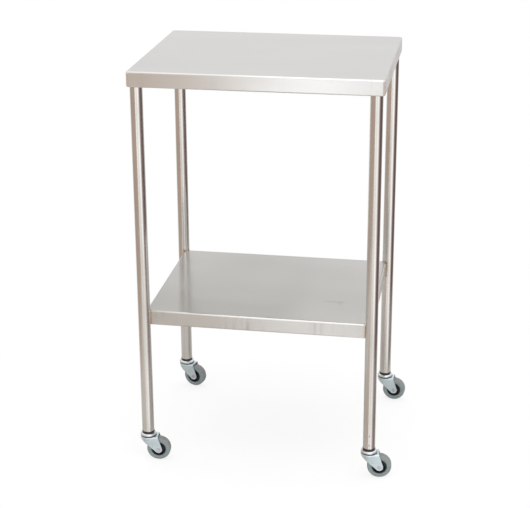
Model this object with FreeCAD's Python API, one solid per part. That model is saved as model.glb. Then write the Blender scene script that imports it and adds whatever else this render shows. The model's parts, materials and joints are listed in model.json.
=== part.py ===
import FreeCAD
import Part
import math
import os

# Instrument table on swivel casters: a folded sheet top and a folded sheet shelf, carried by
# four round tube legs. Millimetres, +Z up, +Y to the rear, origin on the floor under the
# middle of the table. Each caster stands in its own frame first, with the leg's axis as Z
# and the wheel trailing along +X, and is then turned and moved under its leg.

# Table
table_width = 508.0
table_depth = 406.4
table_height = 854.0
leg_inset = 16.9  # from the outer face of the top's skirt to the leg's axis
leg_diameter = 25.4
leg_wall = 1.25

# Folded sheets
sheet = 1.5
skirt_height = 31.75
top_bend_radius = 4.0
return_bend_radius = 3.0
corner_radius = 6.0
return_flange = 12.0  # width of the flange turned in under each skirt
leg_notch_gap = 0.4  # between a leg and the notch for it in the top's return flange

# Shelf
shelf_height = 342.7  # upper face of the shelf above the floor
shelf_overlap = 3.1  # the shelf's faces stand this far inside the legs' axes
shelf_corner_radius = 2.0
weld_bead_radius = 1.3

# Braces under the sheets and gussets over the legs
brace_width = 34.0
brace_depth = 12.0
brace_flange = 11.0
brace_sheet = 1.2
brace_end_gap = 1.0  # from a brace's end to the skirt's inner face
gusset_side = 60.0
gusset_thickness = 3.0
gusset_bend_gap = 0.2  # from a gusset's edge to the start of the top's bend
gusset_tip_width = 12.0

# Caster, from the floor up
wheel_diameter = 50.8
caster_trail = 22.2  # from the leg's axis back to the wheel's axle
wheel_headroom = 2.7  # between the wheel and the fork's head plate
fork_sheet = 1.8
race_gap = 1.4  # open gap between the fork's head plate and the bearing cup
cup_height = 5.6
socket_flange_height = 4.8

# Wheel
tyre_width = 19.0
tyre_side_draft = 0.7
tyre_shoulder_radius = 4.5
hub_diameter = 31.8
hub_face_recess = 0.4
hub_rim_thickness = 2.3
hub_rib_height = 2.4
hub_rib_width = 7.0
hub_web_thickness = 4.0
hub_boss_diameter = 13.0
hub_end_play = 0.3
hub_edge_radius = 1.2

# Axle
axle_diameter = 6.0
axle_fit = 0.05
axle_head_diameter = 8.0
axle_head_height = 1.1
axle_head_hollow = 3.2
axle_head_hollow_depth = 0.7
sleeve_diameter = 8.0
sleeve_running_fit = 0.06

# Fork
tyre_side_clearance = 0.9
fork_head_radius = 18.0
fork_head_bend = 3.2
fork_rim_depth = 6.0
fork_rim_reach = 15.5  # from the leg's axis forward to where the cheek's lower edge starts
fork_rim_blend = 6.0
cheek_end_radius = 8.0
head_plate_reach = 21.0  # from the leg's axis back to the head plate's rear edge

# Swivel bearing
cup_radius = 16.9
cup_edge_height = 1.3
ball_diameter = 3.175
ball_circle = 26.0
ball_count = 12
ball_clearance = 0.05
washer_radius = 9.5
washer_thickness = 1.5
washer_gap = 0.3  # open gap between the head plate and the washer under it
neck_diameter = 9.6
neck_clearance = 0.4
rivet_diameter = 14.0
rivet_height = 1.8
rivet_edge_radius = 0.8

# Stem and its socket in the leg
stem_diameter = 11.1
stem_length = 34.0
stem_tip_chamfer = 1.5
stem_groove_from_tip = 7.0
socket_length = 36.0
socket_flange_diameter = 26.2
socket_fit = 0.05
socket_core_clearance = 1.0
socket_rib_count = 8
socket_rib_width = 2.0
stem_fit = 0.05
ring_height = 1.2
ring_proud = 0.4  # how far the grip ring stands out of the stem
ring_depth = 0.8
ring_seat_clearance = 0.1
ring_opening_degrees = 40.0

# How far each caster has swung from trailing along +X, in degrees about +Z
caster_swing = {
    "front_left": 4.7,
    "front_right": 6.0,
    "rear_left": -13.8,
    "rear_right": -3.7,
}

# Which way each corner lies from the middle of the table
corner_side = {
    "front_left": (-1, -1),
    "front_right": (1, -1),
    "rear_left": (-1, 1),
    "rear_right": (1, 1),
}

# Heights of the caster's parts, from the floor up
wheel_radius = wheel_diameter / 2
plate_underside = wheel_diameter + wheel_headroom
plate_top = plate_underside + fork_sheet
cup_bottom = plate_top + race_gap
cup_top = cup_bottom + cup_height
leg_bottom = cup_top + socket_flange_height
ball_height = plate_top + race_gap / 2
washer_top = plate_underside - washer_gap
washer_bottom = washer_top - washer_thickness
rivet_bottom = washer_bottom - rivet_height
ring_bottom = cup_top + stem_length - stem_groove_from_tip
ring_top = ring_bottom + ring_height

# Places and sizes that follow from the rest
leg_radius = leg_diameter / 2
leg_bore_radius = leg_radius - leg_wall
leg_x = table_width / 2 - leg_inset
leg_y = table_depth / 2 - leg_inset
leg_top = table_height - sheet - gusset_thickness
shelf_width = 2 * (leg_x - shelf_overlap)
shelf_depth = 2 * (leg_y - shelf_overlap)
fork_gap = tyre_width + 2 * tyre_side_clearance
cheek_half_width = fork_gap / 2 + fork_sheet
neck_radius = neck_diameter / 2
stem_radius = stem_diameter / 2
sleeve_radius = sleeve_diameter / 2

beyond = 5.0  # how far a cutting shape runs past what it cuts
tiny = 1e-6

up = FreeCAD.Vector(0, 0, 1)
along_axle = FreeCAD.Vector(0, 1, 0)


def vector(x, y, z):
    return FreeCAD.Vector(x, y, z)


def cylinder(radius, low, high, x=0.0, y=0.0):
    return Part.makeCylinder(radius, high - low, vector(x, y, low), up)


def axle_cylinder(radius, half_length):
    """A cylinder on the wheel's axle, centred between the cheeks."""
    start = vector(caster_trail, -half_length, wheel_radius)
    return Part.makeCylinder(radius, 2 * half_length, start, along_axle)


def polygon_face(points):
    return Part.Face(Part.makePolygon(points + [points[0]]))


def level_edges(shape, height):
    """The edges that lie flat at one height."""
    return [
        edge
        for edge in shape.Edges
        if abs(edge.BoundBox.ZMin - height) < tiny and abs(edge.BoundBox.ZMax - height) < tiny
    ]


# Folded sheets


def rounded_slab(width, depth, low, high, upright_radius, upper_radius, lower_radius):
    slab = Part.makeBox(width, depth, high - low, vector(-width / 2, -depth / 2, low))
    upright = [edge for edge in slab.Edges if edge.BoundBox.ZLength > (high - low) / 2]
    slab = slab.makeFillet(upright_radius, upright)
    slab = slab.makeFillet(upper_radius, level_edges(slab, high))
    return slab.makeFillet(lower_radius, level_edges(slab, low))


def folded_pan(width, depth, upper_face, upright_radius):
    """A sheet with a skirt folded down on each side and a flange turned in under each skirt."""
    lower_face = upper_face - skirt_height
    outside = rounded_slab(
        width, depth, lower_face, upper_face, upright_radius, top_bend_radius, return_bend_radius
    )
    inside = rounded_slab(
        width - 2 * sheet,
        depth - 2 * sheet,
        lower_face + sheet,
        upper_face - sheet,
        upright_radius - sheet,
        top_bend_radius - sheet,
        return_bend_radius - sheet,
    )
    opening = Part.makeBox(
        width - 2 * return_flange,
        depth - 2 * return_flange,
        sheet + 2 * beyond,
        vector(return_flange - width / 2, return_flange - depth / 2, lower_face - beyond),
    )
    return outside.cut(inside).cut(opening)


def leg_cutters(radius, low, high):
    return [
        cylinder(radius, low, high, side_x * leg_x, side_y * leg_y)
        for side_x, side_y in corner_side.values()
    ]


def top_panel():
    skirt_bottom = table_height - skirt_height
    pan = folded_pan(table_width, table_depth, table_height, corner_radius)
    notches = leg_cutters(leg_radius + leg_notch_gap, skirt_bottom - beyond, leg_top)
    return pan.cut(notches)


def shelf_panel():
    """The shelf's corners are coped to the legs, so that its skirts butt against the tubes."""
    pan = folded_pan(shelf_width, shelf_depth, shelf_height, shelf_corner_radius)
    low = shelf_height - skirt_height - beyond
    return pan.cut(leg_cutters(leg_radius, low, shelf_height + beyond))


def brace(upper_face, pan_width):
    """A hat channel that stiffens a sheet from below, along its width."""
    length = pan_width - 2 * (sheet + top_bend_radius + brace_end_gap)
    high = upper_face - sheet
    low = high - brace_depth
    inner = brace_width / 2 - brace_sheet
    outer = brace_width / 2
    rim = outer + brace_flange
    half = [
        (rim, high),
        (rim, high - brace_sheet),
        (outer, high - brace_sheet),
        (outer, low),
    ]
    hollow = [(inner, low + brace_sheet), (inner, high)]
    outline = half + [(-y, z) for y, z in reversed(half)]
    outline += [(-y, z) for y, z in reversed(hollow)] + hollow
    face = polygon_face([vector(-length / 2, y, z) for y, z in outline])
    return face.extrude(vector(length, 0, 0))


def gusset(side_x, side_y):
    """A clipped triangle under the top's corner, which the leg's end is welded to."""
    edge_gap = top_bend_radius + gusset_bend_gap
    corner_x = table_width / 2 - edge_gap
    corner_y = table_depth / 2 - edge_gap
    low = leg_top
    outline = [
        (corner_x, corner_y),
        (corner_x - gusset_side, corner_y),
        (corner_x - gusset_side, corner_y - gusset_tip_width),
        (corner_x - gusset_tip_width, corner_y - gusset_side),
        (corner_x, corner_y - gusset_side),
    ]
    face = polygon_face([vector(side_x * x, side_y * y, low) for x, y in outline])
    return face.extrude(vector(0, 0, gusset_thickness))


def leg(side_x, side_y):
    x = side_x * leg_x
    y = side_y * leg_y
    tube = cylinder(leg_radius, leg_bottom, leg_top, x, y)
    return tube.cut(cylinder(leg_bore_radius, leg_bottom, leg_top, x, y))


def shelf_weld(side_x, side_y, shelf):
    """The beads at one corner: down both skirts beside the leg, and round it under the sheet."""
    x = side_x * leg_x
    y = side_y * leg_y
    low = shelf_height - skirt_height + return_bend_radius
    high = shelf_height - top_bend_radius
    seam = math.sqrt(leg_radius**2 - shelf_overlap**2)
    beads = [
        cylinder(weld_bead_radius, low, high, x - side_x * seam, y - side_y * shelf_overlap),
        cylinder(weld_bead_radius, low, high, x - side_x * shelf_overlap, y - side_y * seam),
    ]
    underside = shelf_height - sheet
    ring = Part.makeTorus(leg_radius, weld_bead_radius, vector(x, y, underside), up)
    reach = leg_radius + weld_bead_radius
    quarter = Part.makeBox(reach, reach, 2 * weld_bead_radius)
    start_x = x - side_x * (shelf_overlap + top_bend_radius)
    start_y = y - side_y * (shelf_overlap + top_bend_radius)
    quarter.translate(
        vector(
            start_x if side_x < 0 else start_x - reach,
            start_y if side_y < 0 else start_y - reach,
            underside - weld_bead_radius,
        )
    )
    leg_filled = cylinder(leg_radius, low - beyond, shelf_height + beyond, x, y)
    solids = ring.common(quarter).cut(shelf).cut(leg_filled).Solids
    for bead in beads:
        parts = bead.cut(shelf).cut(leg_filled).Solids
        solids.append(max(parts, key=lambda part: part.Volume))
    return solids


# Wheel


def revolved_on_axle(points, arcs=()):
    """Turns a profile of (radius, across) points about the axle. An arc is (end, middle): it
    replaces the straight run to that end, and passes through that middle point."""
    through = dict(arcs)
    place = [vector(caster_trail, across, wheel_radius + radius) for radius, across in points]
    edges = []
    for number, end in enumerate(place):
        start = place[number - 1]
        middle = through.get(points[number])
        if middle is None:
            edges.append(Part.LineSegment(start, end).toShape())
        else:
            radius, across = middle
            bend = vector(caster_trail, across, wheel_radius + radius)
            edges.append(Part.Arc(start, bend, end).toShape())
    face = Part.Face(Part.Wire(edges))
    return face.revolve(vector(caster_trail, 0, wheel_radius), along_axle, 360)


def mirrored_profile(half):
    return half + [(radius, -across) for radius, across in reversed(half)]


def tyre():
    side = tyre_width / 2
    hub_radius = hub_diameter / 2
    shoulder = tyre_shoulder_radius
    rib_top = hub_radius + hub_rib_height
    half = [
        (rib_top, hub_rib_width / 2),
        (hub_radius, hub_rib_width / 2),
        (hub_radius, side - tyre_side_draft),
        (wheel_radius - shoulder, side),
        (wheel_radius, side - shoulder),
    ]
    bulge = shoulder * (1 - math.sqrt(0.5))
    middle = (wheel_radius - bulge, side - bulge)
    arcs = [
        ((wheel_radius, side - shoulder), middle),
        ((wheel_radius - shoulder, -side), (middle[0], -middle[1])),
    ]
    return revolved_on_axle(mirrored_profile(half), arcs)


def hub():
    hub_radius = hub_diameter / 2
    face = tyre_width / 2 - tyre_side_draft - hub_face_recess
    rim_inner = hub_radius - hub_rim_thickness
    web = hub_web_thickness / 2
    boss = hub_boss_diameter / 2
    boss_face = fork_gap / 2 - hub_end_play
    bore = sleeve_radius + sleeve_running_fit
    half = [
        (bore, boss_face),
        (boss, boss_face),
        (boss, web),
        (rim_inner, web),
        (rim_inner, face),
        (hub_radius, face),
        (hub_radius, hub_rib_width / 2),
        (hub_radius + hub_rib_height, hub_rib_width / 2),
    ]
    body = revolved_on_axle(mirrored_profile(half))
    corners = [
        edge
        for edge in body.Edges
        if isinstance(edge.Curve, Part.Circle)
        and abs(abs(edge.Curve.Center.y) - web) < tiny
        and edge.Curve.Radius < hub_radius
    ]
    return body.makeFillet(hub_edge_radius, corners)


def axle_sleeve():
    tube = axle_cylinder(sleeve_radius, fork_gap / 2)
    return tube.cut(axle_cylinder(axle_diameter / 2 + axle_fit, fork_gap))


def axle():
    """A rivet with a round head outside each cheek, hollow at its ends where it was spun over."""
    outer = cheek_half_width + axle_head_height
    pin = axle_cylinder(axle_diameter / 2, outer)
    heads = axle_cylinder(axle_head_diameter / 2, outer)
    heads = heads.cut(axle_cylinder(axle_head_diameter, cheek_half_width))
    pin = pin.fuse(heads)
    hollow = axle_cylinder(axle_head_hollow / 2, outer + beyond)
    hollow = hollow.cut(axle_cylinder(axle_head_hollow, outer - axle_head_hollow_depth))
    return pin.cut(hollow).removeSplitter()


# Fork


def head_outline(radius, lean, reach, height):
    """A round front whose straight sides leave it at the angle lean and run back to reach."""
    side_x = radius * math.cos(lean)
    side_y = radius * math.sin(lean)
    end_y = (radius - reach * math.cos(lean)) / math.sin(lean)
    left = vector(side_x, side_y, height)
    right = vector(side_x, -side_y, height)
    left_end = vector(reach, end_y, height)
    right_end = vector(reach, -end_y, height)
    return Part.Wire(
        [
            Part.LineSegment(left_end, left).toShape(),
            Part.Arc(left, vector(-radius, 0, height), right).toShape(),
            Part.LineSegment(right, right_end).toShape(),
            Part.LineSegment(right_end, left_end).toShape(),
        ]
    )


def fork_envelope(inset, reach):
    """A solid as wide as the fork less inset: round at the head, drawn in to upright parallel
    cheeks beside the axle. Behind the axle the head is no narrower than the cheeks."""
    low = wheel_radius - cheek_end_radius - beyond
    cheek_top = wheel_radius + cheek_end_radius
    rear = caster_trail + cheek_end_radius
    aim = math.hypot(rear, cheek_half_width)
    lean = math.atan2(cheek_half_width, rear) + math.acos(fork_head_radius / aim)
    head = head_outline(fork_head_radius - inset, lean, reach, plate_top)
    cheek_radius = cheek_half_width - inset
    waist = head_outline(cheek_radius, math.pi / 2, reach, cheek_top)
    foot = head_outline(cheek_radius, math.pi / 2, reach, low)
    return Part.makeLoft([head, waist, foot], True, True)


def tangent_point(point, centre, radius, side):
    """Where a line from a point touches a circle, both as (x, z). side is 1 or -1."""
    along_x = centre[0] - point[0]
    along_z = centre[1] - point[1]
    distance = math.hypot(along_x, along_z)
    angle = math.atan2(along_z, along_x) + side * math.asin(radius / distance)
    length = math.sqrt(distance**2 - radius**2)
    return (point[0] + length * math.cos(angle), point[1] + length * math.sin(angle))


def cheek_profile(width):
    """The fork's outline from the side, as a solid that runs right across it."""
    axle_place = (caster_trail, wheel_radius)
    rim_low = plate_top - fork_rim_depth
    front = -(fork_head_radius + beyond)
    brow = (-fork_rim_reach, rim_low)
    rear = (head_plate_reach, plate_top)
    front_touch = tangent_point(brow, axle_place, cheek_end_radius, -1)
    rear_touch = tangent_point(rear, axle_place, cheek_end_radius, 1)
    turn = math.atan2(
        front_touch[1] + rear_touch[1] - 2 * wheel_radius,
        front_touch[0] + rear_touch[0] - 2 * caster_trail,
    )
    end = (
        caster_trail + cheek_end_radius * math.cos(turn),
        wheel_radius + cheek_end_radius * math.sin(turn),
    )

    def place(point):
        return vector(point[0], -width / 2, point[1])

    high = plate_top + beyond
    lift = (high - plate_top) / (plate_top - rear_touch[1])
    rear_high = (rear[0] + (rear[0] - rear_touch[0]) * lift, high)
    corners = [front_touch, brow, (front, rim_low), (front, high), rear_high, rear_touch]
    edges = [
        Part.LineSegment(place(a), place(b)).toShape() for a, b in zip(corners, corners[1:])
    ]
    edges.append(Part.Arc(place(rear_touch), place(end), place(front_touch)).toShape())
    solid = Part.Face(Part.Wire(edges)).extrude(vector(0, width, 0))
    blend = [
        edge
        for edge in solid.Edges
        if edge.BoundBox.YLength > width / 2
        and abs(edge.BoundBox.XMin - brow[0]) < tiny
        and abs(edge.BoundBox.ZMin - brow[1]) < tiny
    ]
    return solid.makeFillet(fork_rim_blend, blend)


def ball_groove():
    radius = ball_diameter / 2 + ball_clearance
    return Part.makeTorus(ball_circle / 2, radius, vector(0, 0, ball_height), up)


def fork():
    """A deep-drawn fork: a round head plate with a rim, drawn down into two tapered cheeks."""
    reach = caster_trail + cheek_end_radius + beyond
    outside = fork_envelope(0.0, reach)
    bend = [edge for edge in level_edges(outside, plate_top) if edge.BoundBox.XMin < reach - 1]
    outside = outside.makeFillet(fork_head_bend, bend)
    inside = fork_envelope(fork_sheet, reach + beyond)
    over = Part.makeBox(
        4 * fork_head_radius + reach,
        4 * fork_head_radius,
        beyond,
        vector(-2 * fork_head_radius, -2 * fork_head_radius, plate_underside),
    )
    shell = outside.cut(inside.cut(over))
    shell = shell.common(cheek_profile(4 * fork_head_radius))
    cutters = [
        cylinder(neck_radius + neck_clearance, plate_underside - beyond, plate_top + beyond),
        ball_groove(),
        axle_cylinder(axle_diameter / 2 + axle_fit, cheek_half_width + beyond),
    ]
    return shell.cut(cutters)


# Swivel bearing and stem


def revolved_on_leg(points, arcs=()):
    """Turns a profile of (radius, height) points about the leg's axis, with arcs as above."""
    through = dict(arcs)
    edges = []
    for number, (radius, height) in enumerate(points):
        start = vector(points[number - 1][0], 0, points[number - 1][1])
        end = vector(radius, 0, height)
        middle = through.get((radius, height))
        if middle is None:
            edges.append(Part.LineSegment(start, end).toShape())
        else:
            edges.append(Part.Arc(start, vector(middle[0], 0, middle[1]), end).toShape())
    face = Part.Face(Part.Wire(edges))
    return face.revolve(vector(0, 0, 0), up, 360)


def bearing_cup():
    """The domed upper race, pressed on the stem's neck under the leg's socket."""
    shoulder = socket_flange_diameter / 2
    edge_top = cup_bottom + cup_edge_height
    fall = cup_top - edge_top
    run = cup_radius - shoulder
    crown = (shoulder + run * math.sqrt(0.5), edge_top + fall * math.sqrt(0.5))
    profile = [
        (neck_radius, cup_bottom),
        (cup_radius, cup_bottom),
        (cup_radius, edge_top),
        (shoulder, cup_top),
        (neck_radius, cup_top),
    ]
    dome = revolved_on_leg(profile, [((shoulder, cup_top), crown)])
    return dome.cut(ball_groove())


def swivel_washer():
    washer = cylinder(washer_radius, washer_bottom, washer_top)
    return washer.cut(cylinder(neck_radius, washer_bottom, washer_top))


def swivel_balls():
    balls = []
    for number in range(ball_count):
        turn = 2 * math.pi * number / ball_count
        x = ball_circle / 2 * math.cos(turn)
        y = ball_circle / 2 * math.sin(turn)
        balls.append(Part.makeSphere(ball_diameter / 2, vector(x, y, ball_height)))
    return Part.makeCompound(balls)


def stem():
    """The stem stands in the socket, and its neck carries the cup, fork and washer over a rivet."""
    tip = cup_top + stem_length
    groove_radius = stem_radius + ring_proud - ring_depth - ring_seat_clearance
    rivet = rivet_diameter / 2
    profile = [
        (0.0, rivet_bottom),
        (rivet - rivet_edge_radius, rivet_bottom),
        (rivet, rivet_bottom + rivet_edge_radius),
        (rivet, washer_bottom),
        (neck_radius, washer_bottom),
        (neck_radius, cup_top),
        (stem_radius, cup_top),
        (stem_radius, ring_bottom),
        (groove_radius, ring_bottom),
        (groove_radius, ring_top),
        (stem_radius, ring_top),
        (stem_radius, tip - stem_tip_chamfer),
        (stem_radius - stem_tip_chamfer, tip),
        (0.0, tip),
    ]
    return revolved_on_leg(profile)


def grip_ring():
    """An open spring ring in the stem's groove, which snaps into the socket."""
    outer = stem_radius + ring_proud
    inner = outer - ring_depth
    section = [
        vector(inner, 0, ring_bottom),
        vector(outer, 0, ring_bottom),
        vector(outer, 0, ring_top),
        vector(inner, 0, ring_top),
    ]
    return polygon_face(section).revolve(vector(0, 0, 0), up, 360 - ring_opening_degrees)


def tube_socket():
    """A moulded insert that fills the leg's end: a flange, and a core with crush ribs."""
    bore = stem_radius + stem_fit
    outer = leg_bore_radius - socket_fit
    top = cup_top + socket_length
    body = cylinder(outer - socket_core_clearance, leg_bottom, top)
    full = cylinder(outer, leg_bottom, top)
    for number in range(socket_rib_count):
        rib = Part.makeBox(
            outer, socket_rib_width, top - leg_bottom, vector(0, -socket_rib_width / 2, leg_bottom)
        )
        rib.rotate(vector(0, 0, 0), up, 360 * number / socket_rib_count)
        body = body.fuse(rib.common(full))
    body = body.fuse(cylinder(socket_flange_diameter / 2, cup_top, leg_bottom))
    ring_seat = cylinder(
        stem_radius + ring_proud + ring_seat_clearance,
        ring_bottom - ring_seat_clearance,
        ring_top + ring_seat_clearance,
    )
    body = body.cut(cylinder(bore, cup_top - beyond, top + beyond))
    return body.cut(ring_seat).removeSplitter()


def caster_pieces():
    return {
        "tube_socket": tube_socket(),
        "stem": stem(),
        "grip_ring": grip_ring(),
        "bearing_cup": bearing_cup(),
        "swivel_washer": swivel_washer(),
        "swivel_balls": swivel_balls(),
        "fork": fork(),
        "axle": axle(),
        "axle_sleeve": axle_sleeve(),
        "hub": hub(),
        "tyre": tyre(),
    }


def under_leg(piece, corner):
    side_x, side_y = corner_side[corner]
    moved = piece.copy()
    moved.rotate(vector(0, 0, 0), up, caster_swing[corner])
    moved.translate(vector(side_x * leg_x, side_y * leg_y, 0))
    return moved


def main():
    shelf = shelf_panel()
    nodes = {
        "top_panel": top_panel(),
        "top_brace": brace(table_height, table_width),
        "shelf_panel": shelf,
        "shelf_brace": brace(shelf_height, shelf_width),
    }
    welds = []
    for corner, (side_x, side_y) in corner_side.items():
        nodes["leg_" + corner] = leg(side_x, side_y)
        nodes["corner_gusset_" + corner] = gusset(side_x, side_y)
        welds += shelf_weld(side_x, side_y, shelf)
    nodes["shelf_welds"] = Part.makeCompound(welds)
    for name, piece in caster_pieces().items():
        for corner in corner_side:
            nodes[name + "_" + corner] = under_leg(piece, corner)

    os.makedirs("parts", exist_ok=True)
    for name, shape in nodes.items():
        shape.exportStep(os.path.join("parts", name + ".step"))
        print(name, "solids", len(shape.Solids), "volume", round(shape.Volume, 2))


main()
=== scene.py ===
import json
import math

import bpy
from mathutils import Matrix, Vector


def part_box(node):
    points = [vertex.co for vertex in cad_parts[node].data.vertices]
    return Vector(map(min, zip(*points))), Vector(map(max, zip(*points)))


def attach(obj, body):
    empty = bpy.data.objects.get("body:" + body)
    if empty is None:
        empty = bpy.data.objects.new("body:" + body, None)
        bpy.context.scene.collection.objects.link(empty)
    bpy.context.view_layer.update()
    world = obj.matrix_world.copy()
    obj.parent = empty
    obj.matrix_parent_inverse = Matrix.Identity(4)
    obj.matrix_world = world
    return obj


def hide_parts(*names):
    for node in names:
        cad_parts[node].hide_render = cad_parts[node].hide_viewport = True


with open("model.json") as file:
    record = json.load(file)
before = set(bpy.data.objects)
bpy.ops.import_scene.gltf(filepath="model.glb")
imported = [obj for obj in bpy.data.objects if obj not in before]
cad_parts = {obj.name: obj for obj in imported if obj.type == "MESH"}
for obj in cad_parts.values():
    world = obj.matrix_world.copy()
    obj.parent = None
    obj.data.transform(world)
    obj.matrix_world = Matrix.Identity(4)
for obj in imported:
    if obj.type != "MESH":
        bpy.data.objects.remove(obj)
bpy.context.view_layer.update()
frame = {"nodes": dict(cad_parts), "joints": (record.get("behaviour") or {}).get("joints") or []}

# Instrument table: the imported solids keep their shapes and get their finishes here. Metres, +Z up.

corners = ["front_left", "front_right", "rear_left", "rear_right"]
nodes = frame["nodes"]
joints = {joint["name"]: joint for joint in frame["joints"]}


def middleOf(name):
    low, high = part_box(name)
    return (Vector(low) + Vector(high)) / 2


legPlace = {corner: middleOf("leg_" + corner) for corner in corners}
legRadius = (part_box("leg_front_left")[1][0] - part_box("leg_front_left")[0][0]) / 2
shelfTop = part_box("shelf_panel")[1][2]
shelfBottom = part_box("shelf_panel")[0][2]
print("frame loaded:", len(nodes), "nodes")


# Camera, where the photographer stood

camera = {
    "place": (0.47125, -2.78696, 1.47788),
    "turnDegrees": 10.36,  # to the left of straight ahead
    "tiltDegrees": 19.65,  # downwards
    "rollDegrees": -0.44,
    "lens": 95.06,
    "shiftX": 0.0214,
    "shiftY": -0.0450,
}


def makeCamera(spec):
    data = bpy.data.cameras.new("camera")
    data.lens = spec["lens"]
    data.shift_x = spec["shiftX"]
    data.shift_y = spec["shiftY"]
    data.clip_start = 0.05
    data.clip_end = 60
    holder = bpy.data.objects.new("camera", data)
    bpy.context.scene.collection.objects.link(holder)
    turn = Matrix.Rotation(math.radians(spec["turnDegrees"]), 4, "Z")
    tilt = Matrix.Rotation(math.radians(90 - spec["tiltDegrees"]), 4, "X")
    roll = Matrix.Rotation(math.radians(spec["rollDegrees"]), 4, "Z")
    holder.matrix_world = Matrix.Translation(spec["place"]) @ turn @ tilt @ roll
    bpy.context.scene.camera = holder


makeCamera(camera)
print("camera ready")


# Small helpers for node materials


class Maker:
    def __init__(self, tree):
        self.tree = tree

    def add(self, kind, **settings):
        node = self.tree.nodes.new(kind)
        for key, value in settings.items():
            setattr(node, key, value)
        return node

    def feed(self, socket, source):
        if hasattr(source, "links"):
            self.tree.links.new(source, socket)
        elif isinstance(source, tuple) and len(source) == 3 and socket.type == "RGBA":
            socket.default_value = (*source, 1)
        else:
            socket.default_value = source

    def math(self, operation, first, second=0.0, third=0.0):
        node = self.add("ShaderNodeMath", operation=operation)
        for number, source in enumerate((first, second, third)):
            self.feed(node.inputs[number], source)
        return node.outputs[0]

    def vectorMath(self, operation, first, second=(0.0, 0.0, 0.0)):
        node = self.add("ShaderNodeVectorMath", operation=operation)
        self.feed(node.inputs[0], first)
        self.feed(node.inputs[1], second)
        return node.outputs["Value"] if operation in ("DOT_PRODUCT", "LENGTH") else node.outputs[0]

    def parts(self, vector):
        node = self.add("ShaderNodeSeparateXYZ")
        self.feed(node.inputs[0], vector)
        return node.outputs

    def joined(self, x, y, z):
        node = self.add("ShaderNodeCombineXYZ")
        for socket, source in zip(node.inputs, (x, y, z)):
            self.feed(socket, source)
        return node.outputs[0]

    def placed(self, vector, location=(0, 0, 0), rotation=(0, 0, 0), scale=(1, 1, 1), kind="POINT"):
        node = self.add("ShaderNodeMapping", vector_type=kind)
        self.feed(node.inputs["Vector"], vector)
        node.inputs["Location"].default_value = location
        node.inputs["Rotation"].default_value = rotation
        node.inputs["Scale"].default_value = scale
        return node.outputs[0]

    def noise(self, vector, scale, detail=2.0, roughness=0.5):
        node = self.add("ShaderNodeTexNoise")
        self.feed(node.inputs["Vector"], vector)
        node.inputs["Scale"].default_value = scale
        node.inputs["Detail"].default_value = detail
        node.inputs["Roughness"].default_value = roughness
        return node.outputs["Fac"]

    def cells(self, vector, scale, output="Distance", feature="F1"):
        node = self.add("ShaderNodeTexVoronoi", feature=feature)
        self.feed(node.inputs["Vector"], vector)
        node.inputs["Scale"].default_value = scale
        return node.outputs[output]

    def spread(self, source, low, high, toLow=0.0, toHigh=1.0):
        node = self.add("ShaderNodeMapRange", interpolation_type="SMOOTHSTEP")
        for socket, value in zip(node.inputs, (source, low, high, toLow, toHigh)):
            self.feed(socket, value)
        return node.outputs[0]

    def mix(self, share, first, second, blend="MIX"):
        node = self.add("ShaderNodeMix", data_type="RGBA", blend_type=blend)
        self.feed(node.inputs[0], share)
        self.feed(node.inputs[6], first)
        self.feed(node.inputs[7], second)
        return node.outputs[2]

    def ramp(self, share, stops):
        node = self.add("ShaderNodeValToRGB")
        self.feed(node.inputs[0], share)
        elements = node.color_ramp.elements
        while len(elements) < len(stops):
            elements.new(0.5)
        for element, (position, colour) in zip(elements, stops):
            element.position = position
            element.color = (*colour, 1)
        return node.outputs[0]

    def bump(self, height, depth, strength=1.0, under=None):
        node = self.add("ShaderNodeBump")
        self.feed(node.inputs["Height"], height)
        node.inputs["Distance"].default_value = depth
        node.inputs["Strength"].default_value = strength
        if under is not None:
            self.feed(node.inputs["Normal"], under)
        return node.outputs[0]


def newFinish(name, metallic, roughness):
    material = bpy.data.materials.new(name)
    material.use_nodes = True
    make = Maker(material.node_tree)
    shader = material.node_tree.nodes["Principled BSDF"]
    shader.inputs["Metallic"].default_value = metallic
    shader.inputs["Roughness"].default_value = roughness
    make.shader = shader
    make.material = material
    make.object = make.add("ShaderNodeTexCoord").outputs["Object"]
    make.normal = make.add("ShaderNodeNewGeometry").outputs["Normal"]
    return make


def dress(name, material):
    node = nodes[name]
    node.data.materials.clear()
    node.data.materials.append(material)


# Satin brushed sheet for the top and the shelf, grained along X, and upright at the ends

topFinish = {
    "steel": (0.735, 0.73, 0.72),
    "streak": (0.722, 0.717, 0.707),
    "roughness": (0.19, 0.24),
    "anisotropy": 1.0,
    "grainLength": 0.12,  # metres along a scratch
    "grainWidth": 0.0012,
    "smudge": (0.0, 0.08),  # how dull the level face is, from where it is used least to most
    "wipes": 0.3,  # faint marks down the skirts
    "foldHighlight": (0.94, 0.935, 0.92),  # painted highlight along the upper fold
    "highlightFrom": (-0.10, 0.06),  # the X between which that grows
    "cornerRoughness": 0.5,  # of the ground corner welds
    # ground weld colour at the upright corners; on the top it is lightened into a painted highlight
    # over their dark reflection
    "cornerWeldAndSheen": (0.97, 0.915, 0.89),
}
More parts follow.
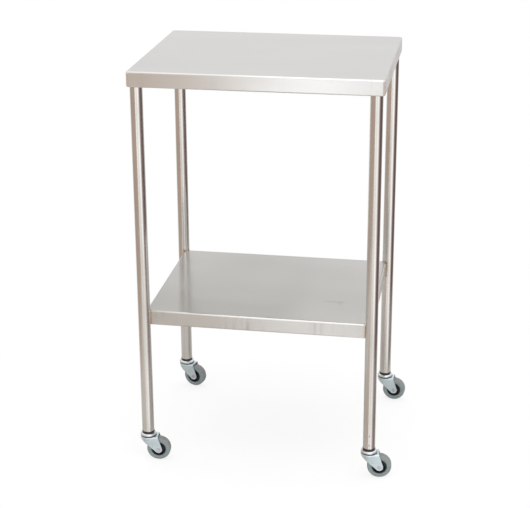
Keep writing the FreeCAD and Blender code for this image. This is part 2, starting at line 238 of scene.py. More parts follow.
# The shelf's steel and streak colours are darker than the top's and its smudge shares higher:
# painted shade from the top above it
shelfFinish = {
    "steel": (0.64, 0.63, 0.612),
    "streak": (0.622, 0.612, 0.594),
    "roughness": (0.16, 0.21),
    "anisotropy": 1.0,
    "grainLength": 0.10,
    "grainWidth": 0.0012,
    "smudge": (0.24, 0.6),
    "wipes": 0.75,
    "foldHighlight": (0.92, 0.91, 0.89),
    "highlightFrom": (-0.24, -0.02),
    "cornerRoughness": 0.3,
    "cornerWeldAndSheen": (0.66, 0.62, 0.59),
    "shadeFront": (-0.16, 0.0),  # the Y between which the painted shade on the front left part fades
    "shadeLeft": (0.02, 0.14),  # the X between which it does
    "shadeShare": 0.36,
    "litRight": (0.04, 0.12),  # the X between which the painted light on the right part grows
    "litShare": 0.2,
    "scuffs": [  # place, half size and strength of two faint marks
        ((0.147, -0.0755, shelfTop), (0.024, 0.0032, 0.01), 0.17),
        ((0.161, -0.080, shelfTop), (0.006, 0.014, 0.01), 0.1),
    ],
}
sheetMarks = {
    "dull": (0.44, 0.43, 0.41),
    "wiped": (0.44, 0.39, 0.35),
    "scuffed": (0.20, 0.12, 0.08),
    "smudgeScale": 3.2,
    "patchScale": (3, 14, 14),  # of the roughness
    "wipeScale": (120, 120, 7),
    "placeScale": 7.0,  # of the parts of a skirt that the wipes show on
}
heatTint = {
    "straw": (0.52, 0.40, 0.26),
    "brown": (0.30, 0.20, 0.16),
    "reach": 0.007,  # metres from the leg's wall over which the tint fades
    "wanderScale": 320.0,
    "rougher": 0.2,
}


def sheetFinish(name, spec, tintLegs):
    make = newFinish(name, 1.0, 0.3)
    sideways, forward, upward = make.parts(make.normal)
    endFace = make.spread(make.math("ABSOLUTE", sideways), 0.15, 0.4)
    along = 1 / spec["grainLength"]
    across = 1 / spec["grainWidth"]
    level = make.placed(make.object, scale=(along, across, across))
    upright = make.placed(make.object, scale=(across, across, along))
    grainLevel = make.noise(level, 1.0, 3.0, 0.6)
    grainUpright = make.noise(upright, 1.0, 3.0, 0.6)
    picked = make.mix(endFace, grainLevel, grainUpright)
    grain = make.parts(picked)[0]
    smudges = make.noise(make.object, sheetMarks["smudgeScale"], 1.0)
    patches = make.noise(make.placed(make.object, scale=sheetMarks["patchScale"]), 1.0, 3.0)
    colour = make.mix(make.spread(grain, 0.35, 0.7), spec["steel"], spec["streak"])
    skirt = make.spread(make.math("ABSOLUTE", upward), 0.5, 0.8, 1.0, 0.0)
    smudgeAndShade = make.spread(smudges, 0.3, 0.8, *spec["smudge"])
    # Painted shade darkens the front left of the shelf's level face, and painted light brightens its
    # right
    if "shadeShare" in spec:
        x, y = make.parts(make.object)[:2]
        shadeLeft = make.spread(x, *spec["shadeLeft"], spec["shadeShare"], 0.0)
        wearAndShade = make.math("MULTIPLY", shadeLeft, make.spread(y, *spec["shadeFront"], 1.0, 0.0))
        paintedLight = make.spread(x, *spec["litRight"], 0.0, spec["litShare"])
        smudgeAndShade = make.math("SUBTRACT", make.math("ADD", smudgeAndShade, wearAndShade), paintedLight)
    smudgeAndShade = make.math("MULTIPLY", make.math("SUBTRACT", 1.0, skirt), smudgeAndShade)
    sheetColour = make.mix(smudgeAndShade, colour, sheetMarks["dull"])
    for place, size, share in spec.get("scuffs", []):
        offset = make.vectorMath("SUBTRACT", make.object, place)
        offset = make.vectorMath("MULTIPLY", offset, tuple(1 / half for half in size))
        scuffed = make.spread(make.vectorMath("LENGTH", offset), 0.4, 1.3, share, 0.0)
        sheetColour = make.mix(scuffed, sheetColour, sheetMarks["scuffed"])
    wipes = make.noise(make.placed(make.object, scale=sheetMarks["wipeScale"]), 1.0, 1.0)
    places = make.spread(make.noise(make.object, sheetMarks["placeScale"], 1.0), 0.45, 0.68)
    wiped = make.math("MULTIPLY", skirt, make.spread(wipes, 0.45, 0.85, 0.0, spec["wipes"]))
    wiped = make.math("MULTIPLY", wiped, places)
    sheetColour = make.mix(wiped, sheetColour, sheetMarks["wiped"])
    # Painted highlight: the upper fold is lightened, more towards +X
    belowTop = make.spread(upward, 0.9, 0.99, 1.0, 0.0)
    fold = make.math("MULTIPLY", make.spread(upward, 0.15, 0.35), belowTop)
    lengthwise = make.spread(make.math("ABSOLUTE", sideways), 0.1, 0.3, 1.0, 0.0)
    highlightX = make.spread(make.parts(make.object)[0], *spec["highlightFrom"])
    rubAndHighlight = make.math("MULTIPLY", lengthwise, highlightX)
    sheetColour = make.mix(make.math("MULTIPLY", fold, rubAndHighlight), sheetColour, spec["foldHighlight"])
    rough = make.spread(patches, 0.3, 0.7, *spec["roughness"])
    slant = make.math("ABSOLUTE", make.math("MULTIPLY", sideways, forward))
    slanted = make.spread(slant, 0.08, 0.3)  # 1 on the upright corners
    rough = make.math("MAXIMUM", rough, make.math("MULTIPLY", slanted, spec["cornerRoughness"]))
    # The upright corners take that colour: ground weld, with a painted highlight on the top
    sheetColour = make.mix(slanted, sheetColour, spec["cornerWeldAndSheen"])
    if tintLegs:
        nearest = None
        for corner in corners:
            centre = (legPlace[corner][0], legPlace[corner][1], 0)
            flat = make.vectorMath("MULTIPLY", make.object, (1, 1, 0))
            away = make.vectorMath("LENGTH", make.vectorMath("SUBTRACT", flat, centre))
            nearest = away if nearest is None else make.math("MINIMUM", nearest, away)
        reach = heatTint["reach"]
        wander = make.noise(make.object, heatTint["wanderScale"], 2.0)
        edge = make.math("ADD", nearest, make.math("MULTIPLY", wander, reach * 0.6))
        warm = make.spread(edge, legRadius, legRadius + reach * 1.6, 0.75, 0.0)
        burnt = make.spread(edge, legRadius, legRadius + reach * 0.8, 0.85, 0.0)
        sheetColour = make.mix(warm, sheetColour, heatTint["straw"])
        sheetColour = make.mix(burnt, sheetColour, heatTint["brown"])
        rough = make.math("ADD", rough, make.math("MULTIPLY", burnt, heatTint["rougher"]))
    make.feed(make.shader.inputs["Base Color"], sheetColour)
    make.feed(make.shader.inputs["Roughness"], rough)
    make.shader.inputs["Anisotropic"].default_value = spec["anisotropy"]
    grainWay = make.mix(endFace, (1.0, 0.0, 0.0), (0.0, 0.0, 1.0))
    tangent = make.vectorMath("CROSS_PRODUCT", make.normal, grainWay)
    make.feed(make.shader.inputs["Tangent"], tangent)
    return make.material


# Polished tube for the legs, with faint lines drawn along it and a few nicks

tubeFinish = {
    "steel": (0.74, 0.725, 0.705),
    "dull": (0.62, 0.60, 0.58),
    "roughness": (0.13, 0.21),
    "lineDepth": 0.000006,
    "nickDepth": 0.00012,
    "nickScale": 55.0,
    "nickColour": (0.3, 0.28, 0.27),
    "lineScale": (900, 900, 3),
    "cloudScale": (30, 30, 7),
    "tint": (0.55, 0.44, 0.31),
    "burnt": (0.33, 0.235, 0.19),
    "tintReach": 0.0095,  # metres from the weld
    "overlap": 0.0031,  # how far the shelf's faces stand inside the legs' axes
    "rubs": [(0.2385, -0.1987, 0.0978), (0.2383, -0.1987, 0.0762)],
    "rubSize": (0.001, 0.0024),
    "rubColour": (0.12, 0.105, 0.10),
}


def tubeSteel(spec):
    make = newFinish("legTubeSteel", 1.0, 0.16)
    lines = make.noise(make.placed(make.object, scale=spec["lineScale"]), 1.0, 2.0)
    clouds = make.noise(make.placed(make.object, scale=spec["cloudScale"]), 1.0, 3.0)
    pits = make.cells(make.placed(make.object, scale=(1, 1, 0.35)), spec["nickScale"])
    nicks = make.spread(pits, 0.02, 0.07, 1.0, 0.0)
    chosen = make.spread(make.noise(make.object, 6.0, 1.0), 0.6, 0.66)
    nicks = make.math("MULTIPLY", nicks, chosen)
    colour = make.mix(make.spread(clouds, 0.4, 0.75, 0.0, 0.6), spec["steel"], spec["dull"])
    x, y, height = make.parts(make.object)
    folded = make.joined(make.math("ABSOLUTE", x), make.math("ABSOLUTE", y), 0.0)
    legX, legY = abs(legPlace["rear_right"][0]), abs(legPlace["rear_right"][1])
    deep = math.sqrt(legRadius ** 2 - spec["overlap"] ** 2)
    seams = [(legX - deep, legY - spec["overlap"], 0), (legX - spec["overlap"], legY - deep, 0)]
    away = [make.vectorMath("LENGTH", make.vectorMath("SUBTRACT", folded, seam)) for seam in seams]
    nearest = make.math("MINIMUM", *away)
    overShelf = make.spread(height, shelfTop, shelfTop + 0.006, 1.0, 0.0)
    underShelf = make.spread(height, shelfBottom - 0.006, shelfBottom + 0.002, 0.0, 1.0)
    heat = make.math("MINIMUM", overShelf, underShelf)
    wander = make.math("MULTIPLY", make.noise(make.object, 150.0, 2.0), 0.0035)
    edge = make.math("ADD", nearest, wander)
    reach = spec["tintReach"]
    straw = make.math("MULTIPLY", heat, make.spread(edge, 0.002, reach, 0.6, 0.0))
    burnt = make.math("MULTIPLY", heat, make.spread(edge, 0.0015, reach * 0.6, 0.7, 0.0))
    colour = make.mix(straw, colour, spec["tint"])
    colour = make.mix(burnt, colour, spec["burnt"])
    colour = make.mix(make.math("MULTIPLY", nicks, 0.6), colour, spec["nickColour"])
    rough = make.spread(clouds, 0.3, 0.75, *spec["roughness"])
    across, tall = spec["rubSize"]
    for rub in spec["rubs"]:
        offset = make.vectorMath("SUBTRACT", make.object, rub)
        offset = make.vectorMath("MULTIPLY", offset, (1 / across, 1 / across, 1 / tall))
        rubAndHighlight = make.spread(make.vectorMath("LENGTH", offset), 0.5, 1.2, 0.9, 0.0)
        colour = make.mix(rubAndHighlight, colour, spec["rubColour"])
    make.feed(make.shader.inputs["Base Color"], colour)
    make.feed(make.shader.inputs["Roughness"], rough)
    drawn = make.bump(lines, spec["lineDepth"])
    dented = make.math("SUBTRACT", 1.0, nicks)
    make.feed(make.shader.inputs["Normal"], make.bump(dented, spec["nickDepth"], 1.0, drawn))
    return make.material


# Mill-finish steel for the braces and gussets

millFinish = {
    "bright": (0.62, 0.615, 0.605),
    "dull": (0.53, 0.525, 0.515),
    "roughness": (0.36, 0.48),
    "cloudScale": 14.0,
    "grainScale": (20, 900, 900),
    "grainDepth": 0.00001,
}


def millSteel(spec):
    make = newFinish("millSteel", 1.0, 0.42)
    grain = make.noise(make.placed(make.object, scale=spec["grainScale"]), 1.0, 2.0)
    clouds = make.noise(make.object, spec["cloudScale"], 4.0)
    colour = make.mix(make.spread(clouds, 0.35, 0.7), spec["bright"], spec["dull"])
    make.feed(make.shader.inputs["Base Color"], colour)
    make.feed(make.shader.inputs["Roughness"], make.spread(clouds, 0.3, 0.7, *spec["roughness"]))
    make.feed(make.shader.inputs["Normal"], make.bump(grain, spec["grainDepth"]))
    return make.material


# Weld metal, straw and brown where it ran hot

weldFinish = {
    "roughness": 0.36,
    "blotchScale": 260.0,
    "blotches": [
        (0.30, (0.60, 0.57, 0.53)),
        (0.50, (0.50, 0.40, 0.28)),
        (0.66, (0.30, 0.21, 0.17)),
        (0.80, (0.24, 0.22, 0.27)),
    ],
    "grainScale": 1500.0,
    "grainDepth": 0.00006,
}


def weldMetal(spec):
    make = newFinish("weldMetal", 1.0, spec["roughness"])
    blotch = make.noise(make.object, spec["blotchScale"], 3.0)
    make.feed(make.shader.inputs["Base Color"], make.ramp(blotch, spec["blotches"]))
    grain = make.noise(make.object, spec["grainScale"], 2.0)
    make.feed(make.shader.inputs["Normal"], make.bump(grain, spec["grainDepth"]))
    return make.material


# Zinc plate: forks, cups and rivets differ in brightness, and grease with painted shade darkens the
# ball race

zincFinish = {
    "fork": {
        "bright": (0.715, 0.825, 0.885),
        "dull": (0.665, 0.775, 0.835),
        "roughness": (0.42, 0.50),
    },
    "cup": {
        "bright": (0.76, 0.80, 0.83),
        "dull": (0.67, 0.71, 0.74),
        "roughness": (0.19, 0.26),
    },
    "rivet": {
        "bright": (0.66, 0.68, 0.69),
        "dull": (0.50, 0.51, 0.515),
        "roughness": (0.30, 0.42),
    },
}
zincGrain = {
    "flakeScale": 900.0,
    "cloudScale": 90.0,
    "fineScale": 1400.0,
    "fineDepth": 0.000012,
}
# A dark line round the cup's foot and on the fork's top beside it: grease, and painted shade in the
# gap between cup and fork
greaseAndShade = {
    "colour": (0.075, 0.07, 0.07),
    "strength": 0.9,
    "reach": 0.0014,  # metres out from the cup's edge
    "climb": 0.0011,  # metres up the cup from its foot
    "below": (0.0015, 0.0005),  # metres under the fork's top between which it begins
}


def zincPlate(name, spec):
    make = newFinish(name, 1.0, 0.3)
    flakes = make.cells(make.object, zincGrain["flakeScale"], "Color")
    shade = make.math("MULTIPLY", make.parts(flakes)[0], 0.25)
    clouds = make.noise(make.object, zincGrain["cloudScale"], 4.0, 0.6)
    share = make.math("ADD", shade, make.math("MULTIPLY", clouds, 0.8))
    colour = make.mix(make.spread(share, 0.3, 0.85), spec["bright"], spec["dull"])
    cupLow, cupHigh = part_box("bearing_cup_front_left")
    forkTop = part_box("fork_front_left")[1][2]
    cupRadius = (cupHigh[0] - cupLow[0]) / 2
    x, y, height = make.parts(make.object)
    folded = make.joined(make.math("ABSOLUTE", x), make.math("ABSOLUTE", y), 0.0)
    stem = (abs(legPlace["front_left"][0]), abs(legPlace["front_left"][1]), 0)
    fromStem = make.vectorMath("LENGTH", make.vectorMath("SUBTRACT", folded, stem))
    reach, climb = greaseAndShade["reach"], greaseAndShade["climb"]
    greaseShade = make.spread(fromStem, cupRadius, cupRadius + reach, greaseAndShade["strength"], 0.0)
    foot = make.spread(height, cupLow[2] + climb / 2, cupLow[2] + climb, 1.0, 0.0)
    head = make.spread(height, *[forkTop - below for below in greaseAndShade["below"]])
    greaseShade = make.math("MULTIPLY", make.math("MULTIPLY", greaseShade, foot), head)
    # Grease and painted shade at the ball race
    colour = make.mix(greaseShade, colour, greaseAndShade["colour"])
    make.feed(make.shader.inputs["Base Color"], colour)
    make.feed(make.shader.inputs["Roughness"], make.spread(clouds, 0.3, 0.7, *spec["roughness"]))
    fine = make.noise(make.object, zincGrain["fineScale"], 2.0)
    make.feed(make.shader.inputs["Normal"], make.bump(fine, zincGrain["fineDepth"]))
    return make.material


# Black moulded plastic

plasticFinish = {
    "hub": {
        "colour": (0.008, 0.009, 0.02),
        "wearAndShade": (0.026, 0.028, 0.042),
        "roughness": (0.34, 0.5),
    },
    "socket": {
        "colour": (0.018, 0.016, 0.018),
        "wearAndShade": (0.045, 0.04, 0.042),
        "roughness": (0.3, 0.45),
    },
}
plasticGrain = {"scuffScale": 160.0, "scale": 2600.0, "depth": 0.00002}


def blackPlastic(name, spec):
    make = newFinish(name, 0.0, 0.4)
    scuff = make.noise(make.object, plasticGrain["scuffScale"], 4.0, 0.65)
    colour = make.mix(make.spread(scuff, 0.52, 0.75), spec["colour"], spec["wearAndShade"])
    make.feed(make.shader.inputs["Base Color"], colour)
    make.feed(make.shader.inputs["Roughness"], make.spread(scuff, 0.3, 0.75, *spec["roughness"]))
    grain = make.noise(make.object, plasticGrain["scale"], 2.0)
    make.feed(make.shader.inputs["Normal"], make.bump(grain, plasticGrain["depth"]))
    return make.material


# Grey rubber tyres: each material is centred on its own wheel, so that only the tread is grimy

tyreFinish = {
    "side": (0.245, 0.295, 0.305),
    "chalk": (0.31, 0.355, 0.36),
    "tread": (0.25, 0.23, 0.21),
    "speck": (0.15, 0.135, 0.12),
    "roughness": (0.5, 0.68),
    "treadStart": 0.0228,  # metres from the axle, where the grime begins
    "grimeWidth": 0.0035,  # metres over which it grows
    "grime": 0.8,
    "wander": 0.004,
    "cloudScale": 120.0,
    "speckScale": 700.0,
    "grainScale": 1300.0,
    "grainDepth": 0.00005,
    "ringRate": 5200.0,  # radians in a metre, for the moulding rings on the sides
    "ringHeight": 0.25,
    "gloss": 0.4,
}


def wheelFrame(make, corner):
    joint = joints["roll_" + corner]  # its centre becomes the origin and its axle runs along Y
    axis = Vector(joint["axis"])
    turn = math.atan2(-axis[0], axis[1])
    shift = make.vectorMath("SUBTRACT", make.object, tuple(joint["pos_m"]))
    return make.placed(shift, rotation=(0, 0, -turn))


def greyRubber(corner, spec):
    make = newFinish("greyRubber_" + corner, 0.0, 0.58)
    local = wheelFrame(make, corner)
    place = make.parts(local)
    fromAxle = make.vectorMath("LENGTH", make.joined(place[0], 0.0, place[2]))
    clouds = make.noise(make.object, spec["cloudScale"], 4.0, 0.6)
    wander = make.math("MULTIPLY", make.math("SUBTRACT", clouds, 0.5), spec["wander"])
    edge = make.math("ADD", fromAxle, wander)
    start = spec["treadStart"]
    grime = make.spread(edge, start, start + spec["grimeWidth"], 0.0, spec["grime"])
    side = make.mix(make.spread(clouds, 0.45, 0.75), spec["side"], spec["chalk"])
    colour = make.mix(grime, side, spec["tread"])
    specks = make.spread(make.cells(make.object, spec["speckScale"]), 0.05, 0.16, 0.7, 0.0)
    colour = make.mix(make.math("MULTIPLY", specks, grime), colour, spec["speck"])
    make.feed(make.shader.inputs["Base Color"], colour)
    make.feed(make.shader.inputs["Roughness"], make.spread(clouds, 0.3, 0.7, *spec["roughness"]))
    grain = make.noise(make.object, spec["grainScale"], 3.0)
    ring = make.math("SINE", make.math("MULTIPLY", fromAxle, spec["ringRate"]))
    onSide = make.spread(edge, start, start + 0.001, spec["ringHeight"], 0.0)
    height = make.math("ADD", grain, make.math("MULTIPLY", ring, onSide))
    make.feed(make.shader.inputs["Normal"], make.bump(height, spec["grainDepth"]))
    make.shader.inputs["Specular IOR Level"].default_value = spec["gloss"]
    return make.material


topSteel = sheetFinish("topSheetSteel", topFinish, False)
shelfSteel = sheetFinish("shelfSheetSteel", shelfFinish, True)
legSteel = tubeSteel(tubeFinish)
plainSteel = millSteel(millFinish)
beadSteel = weldMetal(weldFinish)
forkZinc = zincPlate("forkZinc", zincFinish["fork"])
cupZinc = zincPlate("cupZinc", zincFinish["cup"])
rivetZinc = zincPlate("rivetZinc", zincFinish["rivet"])
hubPlastic = blackPlastic("hubPlastic", plasticFinish["hub"])
socketPlastic = blackPlastic("socketPlastic", plasticFinish["socket"])

dress("top_panel", topSteel)
dress("shelf_panel", shelfSteel)
dress("top_brace", plainSteel)
dress("shelf_brace", plainSteel)
dress("shelf_welds", beadSteel)
for corner in corners:
    dress("leg_" + corner, legSteel)
    dress("corner_gusset_" + corner, plainSteel)
    dress("tube_socket_" + corner, socketPlastic)
    dress("stem_" + corner, cupZinc)
    dress("grip_ring_" + corner, rivetZinc)
    dress("bearing_cup_" + corner, cupZinc)
    dress("swivel_washer_" + corner, rivetZinc)
    dress("swivel_balls_" + corner, cupZinc)
    dress("fork_" + corner, forkZinc)
    dress("axle_" + corner, rivetZinc)
    dress("axle_sleeve_" + corner, rivetZinc)
    dress("hub_" + corner, hubPlastic)
print("finishes ready")


# Helpers for modelled pieces

tiny = 0.000001  # metres or radians that count as nothing


def onlySelect(piece=None):
    bpy.ops.object.select_all(action="DESELECT")
    if piece is not None:
        piece.select_set(True)
        bpy.context.view_layer.objects.active = piece


def unpickAll(piece):
    bpy.ops.object.mode_set(mode="OBJECT")
    for group in (piece.data.vertices, piece.data.edges, piece.data.polygons):
        for element in group:
            element.select = False


def pickFaces(piece, wanted):
    unpickAll(piece)
    bpy.context.tool_settings.mesh_select_mode = (False, False, True)
    for face in piece.data.polygons:
        face.select = wanted(face)
    bpy.ops.object.mode_set(mode="EDIT")


def pickEdges(piece, wanted):
    unpickAll(piece)
    bpy.context.tool_settings.mesh_select_mode = (False, True, False)
    for edge in piece.data.edges:
        edge.select = wanted([piece.data.vertices[number].co for number in edge.vertices])
    bpy.ops.object.mode_set(mode="EDIT")


def settle(piece, smoothDegrees):
    bpy.ops.object.mode_set(mode="OBJECT")
    onlySelect(piece)
    bpy.ops.object.transform_apply(location=True, rotation=True, scale=True)
    bpy.ops.object.shade_smooth_by_angle(angle=math.radians(smoothDegrees))


# Weld beads at the shelf's corners: each is a row of overlapping ripples

weldShape = {
    "radius": 0.0013,
    "thickness": 0.0011,
    "pitch": 0.00085,  # from one ripple to the next
    "lean": 30,  # degrees that a ripple leans over the one before
    "foot": shelfBottom + 0.003,
    "head": shelfTop - 0.004,
    "overlap": 0.0031,  # how far the shelf's faces stand inside the legs' axes
    "sheet": 0.0015,
    "sink": 0.0002,  # how far the round bead lies under the sheet
    "roundHalf": 30,  # degrees that it reaches to each side of the corner
    "segments": 12,
    "rings": 8,
}


def addRipple(spec, place, travel):
    onlySelect()
    bpy.ops.mesh.primitive_uv_sphere_add(
        segments=spec["segments"], ring_count=spec["rings"], radius=spec["radius"], location=place
    )
    ripple = bpy.context.object
    bpy.ops.object.mode_set(mode="EDIT")
    bpy.ops.mesh.select_all(action="SELECT")
    bpy.ops.transform.resize(value=(1, 1, spec["thickness"] / spec["radius"]))
    turn = Vector((0, 0, 1)).rotation_difference(Vector(travel)).to_euler()
    for angle, axis in zip(turn, "XYZ"):
        if abs(angle) > tiny:
            bpy.ops.transform.rotate(value=-angle, orient_axis=axis, center_override=place)
    return ripple


def uprightBead(spec, x, y, outward):
    count = int((spec["head"] - spec["foot"]) / spec["pitch"])
    lean = math.radians(spec["lean"])
    travel = Vector((0, 0, 1)) * math.cos(lean) + Vector(outward) * math.sin(lean)
    bead = addRipple(spec, (x, y, spec["foot"]), travel)
    bpy.ops.object.mode_set(mode="OBJECT")
    row = bead.modifiers.new("row", "ARRAY")
    row.count = count
    row.use_relative_offset = False
    row.use_constant_offset = True
    row.constant_offset_displace = (0, 0, spec["pitch"])
    bpy.ops.object.modifier_apply(modifier="row")
    return bead


def roundBead(spec, corner):
    centre = legPlace[corner]
    sideX = math.copysign(1, centre[0])
    sideY = math.copysign(1, centre[1])
    middle = math.atan2(-sideY, -sideX)
    half = math.radians(spec["roundHalf"])
    start = middle - half
    place = Vector((
        centre[0] + legRadius * math.cos(start),
        centre[1] + legRadius * math.sin(start),
        shelfTop - spec["sheet"] - spec["sink"],
    ))
    travel = (-math.sin(start), math.cos(start), 0)
    bead = addRipple(spec, place, travel)
    steps = int(2 * half * legRadius / spec["pitch"])
    axle = (centre[0], centre[1], 0)
    bpy.ops.mesh.spin(steps=steps, dupli=True, angle=-2 * half, center=axle, axis=(0, 0, 1))
    bpy.ops.object.mode_set(mode="OBJECT")
    return bead


def makeWelds(spec):
    near = spec["overlap"]
    seam = math.sqrt(legRadius ** 2 - near ** 2)
    beads = []
    for corner in corners:
        x, y = legPlace[corner].xy
        sideX = math.copysign(1, x)
        sideY = math.copysign(1, y)
        beads.append(uprightBead(spec, x - sideX * seam, y - sideY * near, (0, sideY, 0)))
        beads.append(uprightBead(spec, x - sideX * near, y - sideY * seam, (sideX, 0, 0)))
        beads.append(roundBead(spec, corner))
    onlySelect(beads[0])
    for bead in beads:
        bead.select_set(True)
    bpy.ops.object.join()
    welds = beads[0]
    welds.name = "weldBeads"
    settle(welds, 60)
    welds.data.materials.clear()
    welds.data.materials.append(beadSteel)
    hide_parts("shelf_welds")
    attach(welds, "table_frame")


makeWelds(weldShape)
print("welds ready")


# Tyres: a moulded ring with a parting line round the tread and a step on each side wall

tyreShape = {
    "radius": 0.02528,  # without the parting line, which brings it to the wheel's full size
    "width": 0.019,
    "hubRadius": 0.0159,
    "draft": 0.0007,  # how far the side wall falls back towards the hub
    "shoulder": 0.0045,
    "shoulderSteps": 7,
    "stepInner": 0.0018,  # width of the raised band beside the hub
    "stepHeight": 0.00022,
    "stepRise": 0.08,  # share of the band's width in which it rises
    "hubSlack": 0.0004,  # how far the open rims may lie off the hub's radius
    "treadFrom": 0.024,  # metres from the axle beyond which a face is tread
    "partingWidth": 0.0005,
    "partingHeight": 0.00012,
    "around": 96,
}


def makeTyre(corner, spec):
    joint = joints["roll_" + corner]
    centre = Vector(joint["pos_m"])
    turn = math.atan2(-joint["axis"][0], joint["axis"][1])
    halfWidth = spec["width"] / 2
    onlySelect()
    bpy.ops.mesh.primitive_cylinder_add(
        vertices=spec["around"], radius=spec["radius"], depth=spec["width"]
    )
    tyre = bpy.context.object
    tyre.name = "greyTyre_" + corner

    def fromAxle(place):
        return math.hypot(place[0], place[1])

    def atHub(ends):
        return all(abs(fromAxle(end) - spec["hubRadius"]) < spec["hubSlack"] for end in ends)

    def onRim(end):
        return fromAxle(end) > spec["radius"] - tiny and abs(abs(end[2]) - halfWidth) < tiny

    def onPartingLine(face):
        narrow = abs(face.center[2]) < spec["partingWidth"] / 2
        return narrow and fromAxle(face.center) > spec["treadFrom"]

    pickFaces(tyre, lambda face: abs(face.normal[2]) > 0.9)  # both ends, opened to the hub's radius
    bpy.ops.mesh.inset(thickness=spec["radius"] - spec["hubRadius"] - spec["stepInner"], depth=0)
    rise = spec["stepInner"] * spec["stepRise"]
    bpy.ops.mesh.inset(thickness=rise, depth=spec["stepHeight"])
    bpy.ops.mesh.inset(thickness=spec["stepInner"] - rise, depth=-spec["draft"])
    bpy.ops.mesh.delete(type="FACE")
    pickEdges(tyre, atHub)
    bpy.ops.mesh.bridge_edge_loops()
    pickEdges(tyre, lambda ends: all(onRim(end) for end in ends) and ends[0][2] * ends[1][2] > 0)
    bpy.ops.mesh.bevel(offset=spec["shoulder"], segments=spec["shoulderSteps"], profile=0.5)
    for side in (-1, 1):
        bpy.ops.mesh.select_all(action="SELECT")
        place = (0, 0, side * spec["partingWidth"] / 2)
        bpy.ops.mesh.bisect(plane_co=place, plane_no=(0, 0, 1))
    pickFaces(tyre, onPartingLine)
    raised = {"value": spec["partingHeight"]}
    bpy.ops.mesh.extrude_region_shrink_fatten(TRANSFORM_OT_shrink_fatten=raised)
    bpy.ops.mesh.select_all(action="SELECT")
    bpy.ops.mesh.normals_make_consistent(inside=False)
    bpy.ops.object.mode_set(mode="OBJECT")
    tyre.rotation_euler = (math.radians(90), 0, turn)
    tyre.location = centre
    settle(tyre, 35)
    tyre.data.materials.clear()
    tyre.data.materials.append(greyRubber(corner, tyreFinish))
    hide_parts("tyre_" + corner)
    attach(tyre, "wheel_" + corner)


for corner in corners:
    makeTyre(corner, tyreShape)
print("tyres ready")


# Floor, studio surroundings and lamps

studio = {
    "floorSize": 14.0,
    "floorColour": (0.82, 0.82, 0.82),
    "seenFloor": (0.97, 0.97, 0.97),
    "mirroredFloor": (0.60, 0.58, 0.555),  # the floor as the steel shows it
    "shadowShare": 0.2,  # how much of the lit floor the camera sees under plain white
    "shadowReach": (0.35, 0.85),  # metres from the middle over which that fades
    "nearFloor": 0.8,  # how much of the floor a reflection sees close to the table
    "poolShare": (0.33, 0.85),  # how much of that is left in the lamps' pool before the table
    "poolDistance": (0.5, 0.95),  # near and far
    "poolTurn": 0.3,  # how much nearer its far end comes on the right
    "poolFront": (-0.15, -0.4),
    "poolSlant": 3.0,  # how far back it reaches beyond the legs on the right
    "legsEdge": 0.27,  # the X at which that begins
    "poolLeft": (-0.34, -0.14),
    "poolRight": (0.55, 0.85),
    "nearRadius": 1.0,
    "farRadius": 1.95,
    "nearStretch": (2.0, 0.68, 1.0),  # makes that patch narrow, and long towards the photographer
    "ceiling": (1.35, 1.35, 1.34),
    "ceilingFrom": (0.55, 0.9),  # how high above the horizon it begins and takes over
    "horizon": (-0.02, 0.12),  # the heights between which the lower colours give way to the upper
    "brightest": 1.6,  # the colours around are written as shares of this
}
# Degrees from straight towards the photographer, to the right, with the colour that stands there
roomAbove = [
    (-180, (0.57, 0.57, 0.57)),
    (-70, (0.53, 0.52, 0.51)),
    (-38, (0.47, 0.45, 0.43)),
    (-18, (0.44, 0.405, 0.375)),
    (-6, (0.67, 0.665, 0.66)),
    (8, (0.65, 0.645, 0.64)),
    (50, (0.60, 0.595, 0.59)),
    (110, (0.58, 0.58, 0.575)),
    (180, (0.57, 0.57, 0.57)),
]
roomBelow = [
    (-180, (0.60, 0.60, 0.60)),
    (-140, (0.54, 0.535, 0.52)),
    (-115, (0.36, 0.325, 0.29)),
    (-95, (0.315, 0.255, 0.215)),
    (-28, (0.34, 0.265, 0.22)),
    (-16, (0.385, 0.305, 0.25)),
    (-13, (0.46, 0.40, 0.36)),
    (-11, (0.62, 0.60, 0.585)),
    (-9.4, (0.97, 0.98, 1.0)),
    (-7, (1.0, 1.01, 1.03)),
    (-4.5, (0.74, 0.73, 0.72)),
    (0, (0.68, 0.665, 0.65)),
    (25, (0.69, 0.675, 0.66)),
    (34, (0.84, 0.83, 0.825)),
    (42, (0.90, 0.89, 0.885)),
    (50, (0.64, 0.61, 0.59)),
    (64, (0.29, 0.235, 0.225)),
    (82, (0.10, 0.07, 0.065)),
    (120, (0.10, 0.072, 0.068)),
    (142, (0.30, 0.27, 0.26)),
    (160, (0.57, 0.565, 0.56)),
    (180, (0.60, 0.60, 0.60)),
]


def makeWorld(spec):
    world = bpy.data.worlds.new("studio")
    bpy.context.scene.world = world
    world.use_nodes = True
    make = Maker(world.node_tree)
    way = make.add("ShaderNodeTexCoord").outputs["Generated"]
    x, y, z = make.parts(way)
    turn = make.math("ARCTAN2", x, make.math("MULTIPLY", y, -1.0))
    share = make.math("MULTIPLY_ADD", turn, 1 / (2 * math.pi), 0.5)
    above, below = [
        make.ramp(share, [((angle + 180) / 360, colour) for angle, colour in room])
        for room in (roomAbove, roomBelow)
    ]
    around = make.mix(make.spread(z, *spec["horizon"]), below, above)
    around = make.vectorMath("MULTIPLY", around, (spec["brightest"],) * 3)
    room = make.mix(make.spread(z, *spec["ceilingFrom"]), around, spec["ceiling"])
    isCamera = make.add("ShaderNodeLightPath").outputs["Is Camera Ray"]
    background = world.node_tree.nodes["Background"]
    make.feed(background.inputs["Color"], make.mix(isCamera, room, (1.0, 1.0, 1.0)))
    background.inputs["Strength"].default_value = 1.0


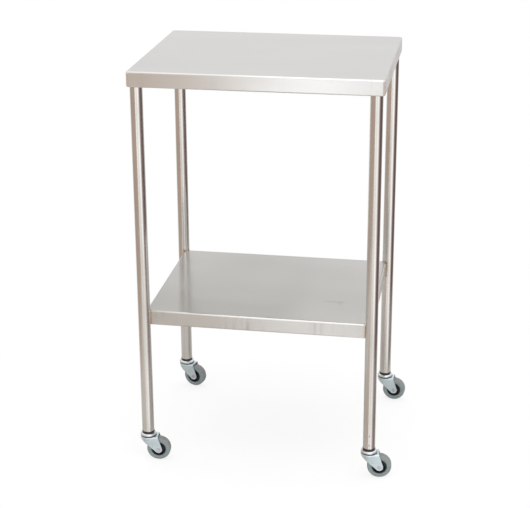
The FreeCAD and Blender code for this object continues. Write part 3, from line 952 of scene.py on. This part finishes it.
def makeFloor(spec):
    bpy.ops.object.select_all(action="DESELECT")
    bpy.ops.mesh.primitive_plane_add(size=spec["floorSize"], location=(0, 0, 0))
    floor = bpy.context.object
    floor.name = "floor"
    material = bpy.data.materials.new("paleFloor")
    material.use_nodes = True
    tree = material.node_tree
    tree.nodes.remove(tree.nodes["Principled BSDF"])
    make = Maker(tree)
    rays = make.add("ShaderNodeLightPath").outputs
    place = make.add("ShaderNodeTexCoord").outputs["Object"]
    away = make.vectorMath("LENGTH", place)
    lit = make.add("ShaderNodeBsdfDiffuse")
    make.feed(lit.inputs["Color"], spec["floorColour"])
    white = make.add("ShaderNodeEmission")
    clear = make.add("ShaderNodeBsdfTransparent")
    grey = make.add("ShaderNodeBsdfDiffuse")
    make.feed(grey.inputs["Color"], spec["mirroredFloor"])
    pale = make.add("ShaderNodeBsdfDiffuse")
    make.feed(pale.inputs["Color"], spec["seenFloor"])
    seen = make.add("ShaderNodeMixShader")
    make.feed(seen.inputs[0], make.spread(away, *spec["shadowReach"], spec["shadowShare"], 0.0))
    make.feed(seen.inputs[1], white.outputs[0])
    make.feed(seen.inputs[2], pale.outputs[0])
    mirrored = make.add("ShaderNodeMixShader")
    x, y = make.parts(place)[:2]
    rightward = make.math("MAXIMUM", make.math("SUBTRACT", x, spec["legsEdge"]), 0.0)
    slanted = make.math("MULTIPLY_ADD", rightward, -spec["poolSlant"], y)
    before = make.spread(slanted, *spec["poolFront"])
    rightEnd = make.spread(x, *spec["poolRight"], 1.0, 0.0)
    beside = make.math("MULTIPLY", make.spread(x, *spec["poolLeft"]), rightEnd)
    forward = make.math("SUBTRACT", make.math("MULTIPLY", x, spec["poolTurn"]), y)
    taken = [share - 1 for share in spec["poolShare"]]
    poolShare = make.spread(forward, *spec["poolDistance"], *taken)
    lampPool = make.math("MULTIPLY_ADD", make.math("MULTIPLY", before, beside), poolShare, 1.0)
    stretched = make.vectorMath("LENGTH", make.vectorMath("MULTIPLY", place, spec["nearStretch"]))
    near = make.spread(stretched, spec["nearRadius"], spec["farRadius"], spec["nearFloor"], 0.0)
    make.feed(mirrored.inputs[0], make.math("MULTIPLY", near, lampPool))
    make.feed(mirrored.inputs[1], clear.outputs[0])
    make.feed(mirrored.inputs[2], grey.outputs[0])
    either = make.add("ShaderNodeMixShader")
    make.feed(either.inputs[0], rays["Is Glossy Ray"])
    make.feed(either.inputs[1], lit.outputs[0])
    make.feed(either.inputs[2], mirrored.outputs[0])
    final = make.add("ShaderNodeMixShader")
    make.feed(final.inputs[0], rays["Is Camera Ray"])
    make.feed(final.inputs[1], either.outputs[0])
    make.feed(final.inputs[2], seen.outputs[0])
    make.feed(tree.nodes["Material Output"].inputs["Surface"], final.outputs[0])
    floor.data.materials.append(material)


lamps = {
    "overhead": {
        "place": (0.0, -0.3, 2.9),
        "aim": (0, 0, 0.4),
        "size": (2.8, 2.4),
        "watts": 16,
        "mirrored": False,  # whether the steel shows the lamp itself
    },
    "frontRight": {
        "place": (1.5, -2.6, 2.0),
        "aim": (0, 0, 0.4),
        "size": (1.4, 1.8),
        "watts": 6,
        "mirrored": True,
    },
}


def makeLamp(name, spec):
    data = bpy.data.lights.new(name, "AREA")
    data.shape = "RECTANGLE"
    data.size, data.size_y = spec["size"]
    data.energy = spec["watts"]
    lamp = bpy.data.objects.new(name, data)
    bpy.context.scene.collection.objects.link(lamp)
    lamp.location = spec["place"]
    way = Vector(spec["aim"]) - Vector(spec["place"])
    lamp.rotation_euler = way.to_track_quat("-Z", "Y").to_euler()
    lamp.visible_camera = False
    lamp.visible_glossy = spec["mirrored"]


makeWorld(studio)
makeFloor(studio)
for name, spec in lamps.items():
    makeLamp(name, spec)
bpy.context.scene.view_settings.view_transform = "Standard"
print("studio ready")
